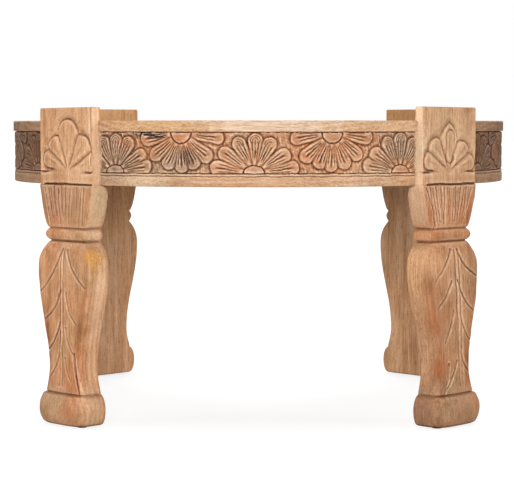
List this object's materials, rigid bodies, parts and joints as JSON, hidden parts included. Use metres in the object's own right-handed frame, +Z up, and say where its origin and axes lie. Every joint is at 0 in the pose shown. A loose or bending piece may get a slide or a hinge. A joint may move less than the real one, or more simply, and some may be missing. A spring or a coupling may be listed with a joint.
{
  "type": "bajot low table",
  "caption": "Round low wooden table on carved plank legs that rise past its top as short posts, joined by a curved apron with a carved flower frieze.",
  "frame": {"origin": "on the floor under the middle of the round top", "axes": "+Z up, -Y towards the front, +X to the right seen from the front; the legs stand on the diagonals"},
  "size_m": [0.75, 0.7499, 0.45],
  "materials": {
    "top_wood": "hand-planed, matt wax",
    "apron_wood": "carved, darker in the recesses",
    "leg_wood": "carved, matt wax",
    "frame_wood": "sawn, unfinished",
    "dowel_wood": "turned",
    "screw_steel": "zinc plated",
    "glide_plastic": "moulded"
  },
  "bodies": {
    "root": {"top_board_1": "top_wood", "top_board_2": "top_wood", "top_board_3": "top_wood", "top_board_4": "top_wood", "top_board_5": "top_wood", "top_board_6": "top_wood", "board_dowels": "dowel_wood", "apron_front": "apron_wood", "apron_right": "apron_wood", "apron_rear": "apron_wood", "apron_left": "apron_wood", "leg_front_left": "leg_wood", "leg_front_right": "leg_wood", "leg_rear_right": "leg_wood", "leg_rear_left": "leg_wood", "corner_block_front_left": "frame_wood", "corner_block_front_right": "frame_wood", "corner_block_rear_right": "frame_wood", "corner_block_rear_left": "frame_wood", "block_screws": "screw_steel", "cleat_left": "frame_wood", "cleat_right": "frame_wood", "cleat_screws": "screw_steel", "top_screws": "screw_steel", "glides_front_left": "glide_plastic", "glides_front_right": "glide_plastic", "glides_rear_right": "glide_plastic", "glides_rear_left": "glide_plastic"}
  },
  "joints": []
}
